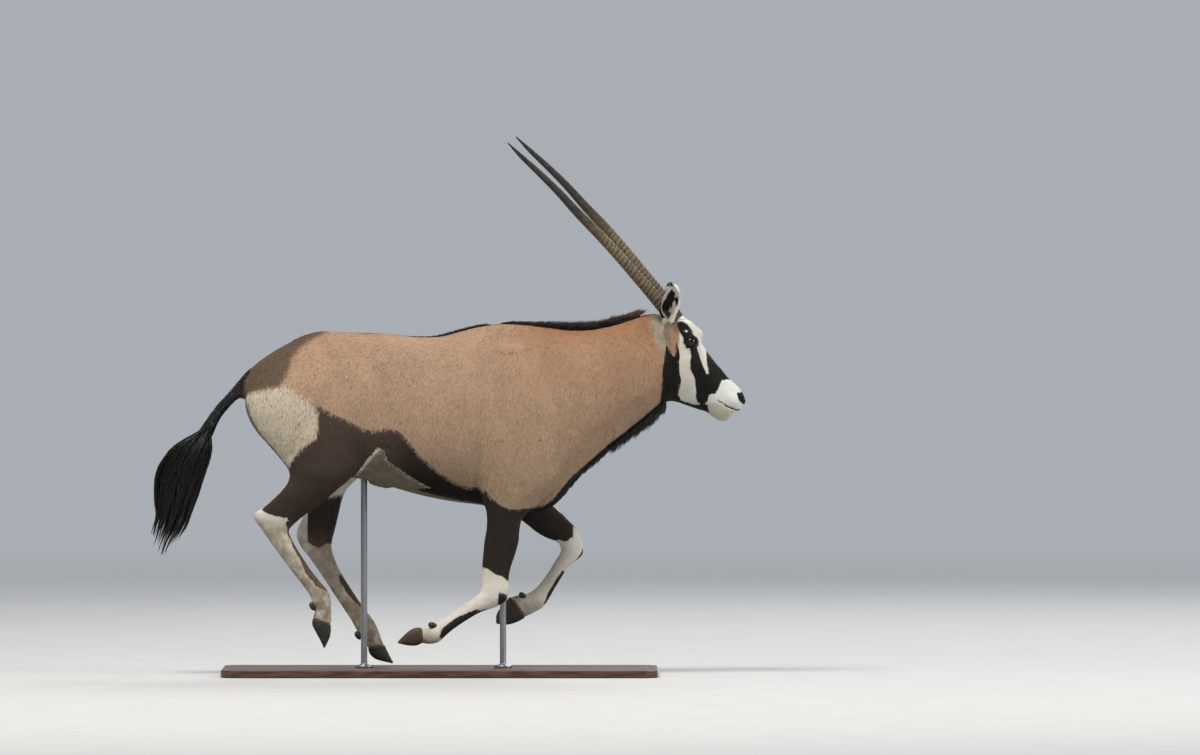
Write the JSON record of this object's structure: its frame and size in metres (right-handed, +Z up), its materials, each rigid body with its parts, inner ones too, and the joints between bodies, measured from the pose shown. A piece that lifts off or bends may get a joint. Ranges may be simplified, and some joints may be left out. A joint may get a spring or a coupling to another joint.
{
  "type": "gemsbok",
  "caption": "Still life-size gemsbok (oryx antelope) with long straight horns, galloping with its legs gathered under it, held by rods on a flat display base.",
  "frame": {"origin": "middle of the underside of the display stand's flat base", "axes": "+X towards the animal's nose, +Y towards its left side, +Z up"},
  "size_m": [2.0769, 0.62, 1.86],
  "materials": {
    "coat": "short flat fawn hair",
    "coat_dark": "short flat black-brown hair",
    "coat_pale": "short flat whitish hair",
    "long_hair": "long black hair in locks",
    "horn": "ridged keratin, darker towards the tip",
    "hoof": "worn dark keratin",
    "eye": "dark and wet",
    "stand_wood": "dark stained, satin lacquer",
    "stand_metal": "satin"
  },
  "bodies": {
    "root": {"trunk": "coat", "neck": "coat", "head": "coat_pale", "eye_right": "eye", "ear_right": "coat_pale", "horn_right": "horn", "eye_left": "eye", "ear_left": "coat_pale", "horn_left": "horn", "hindleg_right_thigh": "coat", "hindleg_right_shank": "coat_dark", "hindleg_right_cannon": "coat_pale", "hindleg_left_thigh": "coat", "hindleg_left_shank": "coat_dark", "hindleg_left_cannon": "coat_pale", "foreleg_right_shoulder": "coat", "foreleg_right_forearm": "coat_dark", "foreleg_right_cannon": "coat_pale", "foreleg_left_shoulder": "coat", "foreleg_left_forearm": "coat_dark", "foreleg_left_cannon": "coat_pale", "tail": "coat_dark", "tail_tuft": "long_hair", "mane": "long_hair", "throat_fringe": "long_hair", "hoof_hind_right_inner": "hoof", "dewclaw_hind_right_inner": "hoof", "hoof_hind_right_outer": "hoof", "dewclaw_hind_right_outer": "hoof", "hoof_hind_left_inner": "hoof", "dewclaw_hind_left_inner": "hoof", "hoof_hind_left_outer": "hoof", "dewclaw_hind_left_outer": "hoof", "hoof_fore_right_inner": "hoof", "dewclaw_fore_right_inner": "hoof", "hoof_fore_right_outer": "hoof", "dewclaw_fore_right_outer": "hoof", "hoof_fore_left_inner": "hoof", "dewclaw_fore_left_inner": "hoof", "hoof_fore_left_outer": "hoof", "dewclaw_fore_left_outer": "hoof", "stand_base": "stand_wood", "stand_rod_front": "stand_metal", "stand_rod_rear": "stand_metal"}
  },
  "joints": []
}
